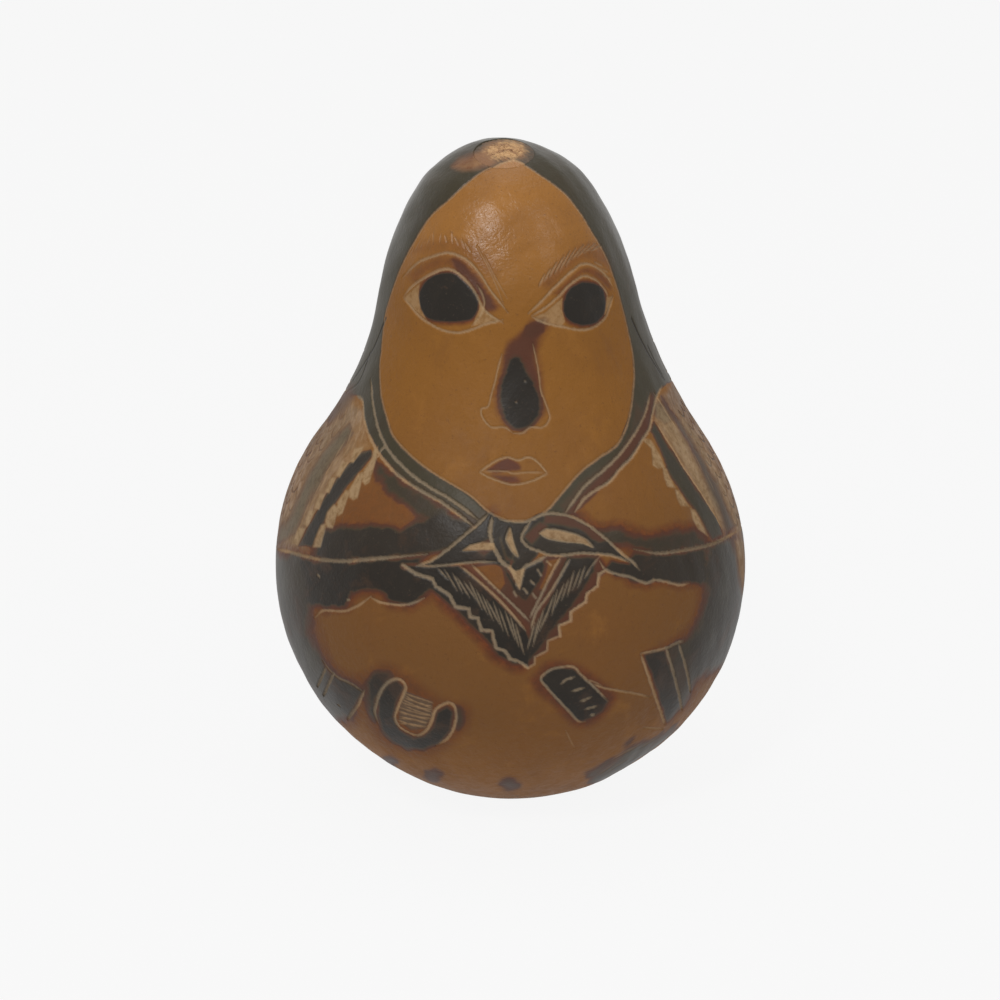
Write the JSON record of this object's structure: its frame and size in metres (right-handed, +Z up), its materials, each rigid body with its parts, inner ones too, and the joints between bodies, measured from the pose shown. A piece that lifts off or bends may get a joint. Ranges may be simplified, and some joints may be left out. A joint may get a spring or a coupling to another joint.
{
  "type": "carved gourd figure",
  "caption": "Pear-shaped dried gourd, engraved and scorched as a woman in a headscarf; a hollow shell with dried stem, papery lining, pith and loose rattling seeds.",
  "frame": {"origin": "middle of the foot that the gourd stands on", "axes": "+Z up through the crown of the head; the carved face looks towards -Y; +X is to the right of someone who looks at the face"},
  "size_m": [0.0706, 0.0706, 0.0996],
  "materials": {
    "skin": "waxed dried gourd skin, engraved and burnt",
    "stem": "sanded corky stem",
    "lining": "dry papery skin",
    "pith": "dry spongy pith",
    "seed": "matt seed coat"
  },
  "bodies": {
    "gourd": {"gourd_shell": "skin", "stem_stump": "stem", "pith_lining": "lining", "pith_core": "pith", "stuck_seeds": "seed"},
    "seed_01": {"loose_seed_01": "seed"},
    "seed_02": {"loose_seed_02": "seed"},
    "seed_03": {"loose_seed_03": "seed"},
    "seed_04": {"loose_seed_04": "seed"},
    "seed_05": {"loose_seed_05": "seed"},
    "seed_06": {"loose_seed_06": "seed"},
    "seed_07": {"loose_seed_07": "seed"},
    "seed_08": {"loose_seed_08": "seed"},
    "seed_09": {"loose_seed_09": "seed"},
    "seed_10": {"loose_seed_10": "seed"},
    "seed_11": {"loose_seed_11": "seed"},
    "seed_12": {"loose_seed_12": "seed"},
    "seed_13": {"loose_seed_13": "seed"},
    "seed_14": {"loose_seed_14": "seed"},
    "seed_15": {"loose_seed_15": "seed"},
    "seed_16": {"loose_seed_16": "seed"}
  },
  "joints": [
    {"name": "seed_01_rattle", "type": "slide", "parent": "gourd", "child": "seed_01", "axis": [0, 0, 1], "range_m": [0, 0.054]},
    {"name": "seed_02_rattle", "type": "slide", "parent": "gourd", "child": "seed_02", "axis": [0, 0, 1], "range_m": [0, 0.054]},
    {"name": "seed_03_rattle", "type": "slide", "parent": "gourd", "child": "seed_03", "axis": [0, 0, 1], "range_m": [0, 0.056]},
    {"name": "seed_04_rattle", "type": "slide", "parent": "gourd", "child": "seed_04", "axis": [0, 0, 1], "range_m": [0, 0.056]},
    {"name": "seed_05_rattle", "type": "slide", "parent": "gourd", "child": "seed_05", "axis": [0, 0, 1], "range_m": [0, 0.052]},
    {"name": "seed_06_rattle", "type": "slide", "parent": "gourd", "child": "seed_06", "axis": [0, 0, 1], "range_m": [0, 0.05]},
    {"name": "seed_07_rattle", "type": "slide", "parent": "gourd", "child": "seed_07", "axis": [0, 0, 1], "range_m": [0, 0.047]},
    {"name": "seed_08_rattle", "type": "slide", "parent": "gourd", "child": "seed_08", "axis": [0, 0, 1], "range_m": [0, 0.043]},
    {"name": "seed_09_rattle", "type": "slide", "parent": "gourd", "child": "seed_09", "axis": [0, 0, 1], "range_m": [0, 0.042]},
    {"name": "seed_10_rattle", "type": "slide", "parent": "gourd", "child": "seed_10", "axis": [0, 0, 1], "range_m": [0, 0.038]},
    {"name": "seed_11_rattle", "type": "slide", "parent": "gourd", "child": "seed_11", "axis": [0, 0, 1], "range_m": [0, 0.036]},
    {"name": "seed_12_rattle", "type": "slide", "parent": "gourd", "child": "seed_12", "axis": [0, 0, 1], "range_m": [0, 0.037]},
    {"name": "seed_13_rattle", "type": "slide", "parent": "gourd", "child": "seed_13", "axis": [0, 0, 1], "range_m": [0, 0.033]},
    {"name": "seed_14_rattle", "type": "slide", "parent": "gourd", "child": "seed_14", "axis": [0, 0, 1], "range_m": [0, 0.031]},
    {"name": "seed_15_rattle", "type": "slide", "parent": "gourd", "child": "seed_15", "axis": [0, 0, 1], "range_m": [0, 0.033]},
    {"name": "seed_16_rattle", "type": "slide", "parent": "gourd", "child": "seed_16", "axis": [0, 0, 1], "range_m": [0, 0.028]}
  ]
}
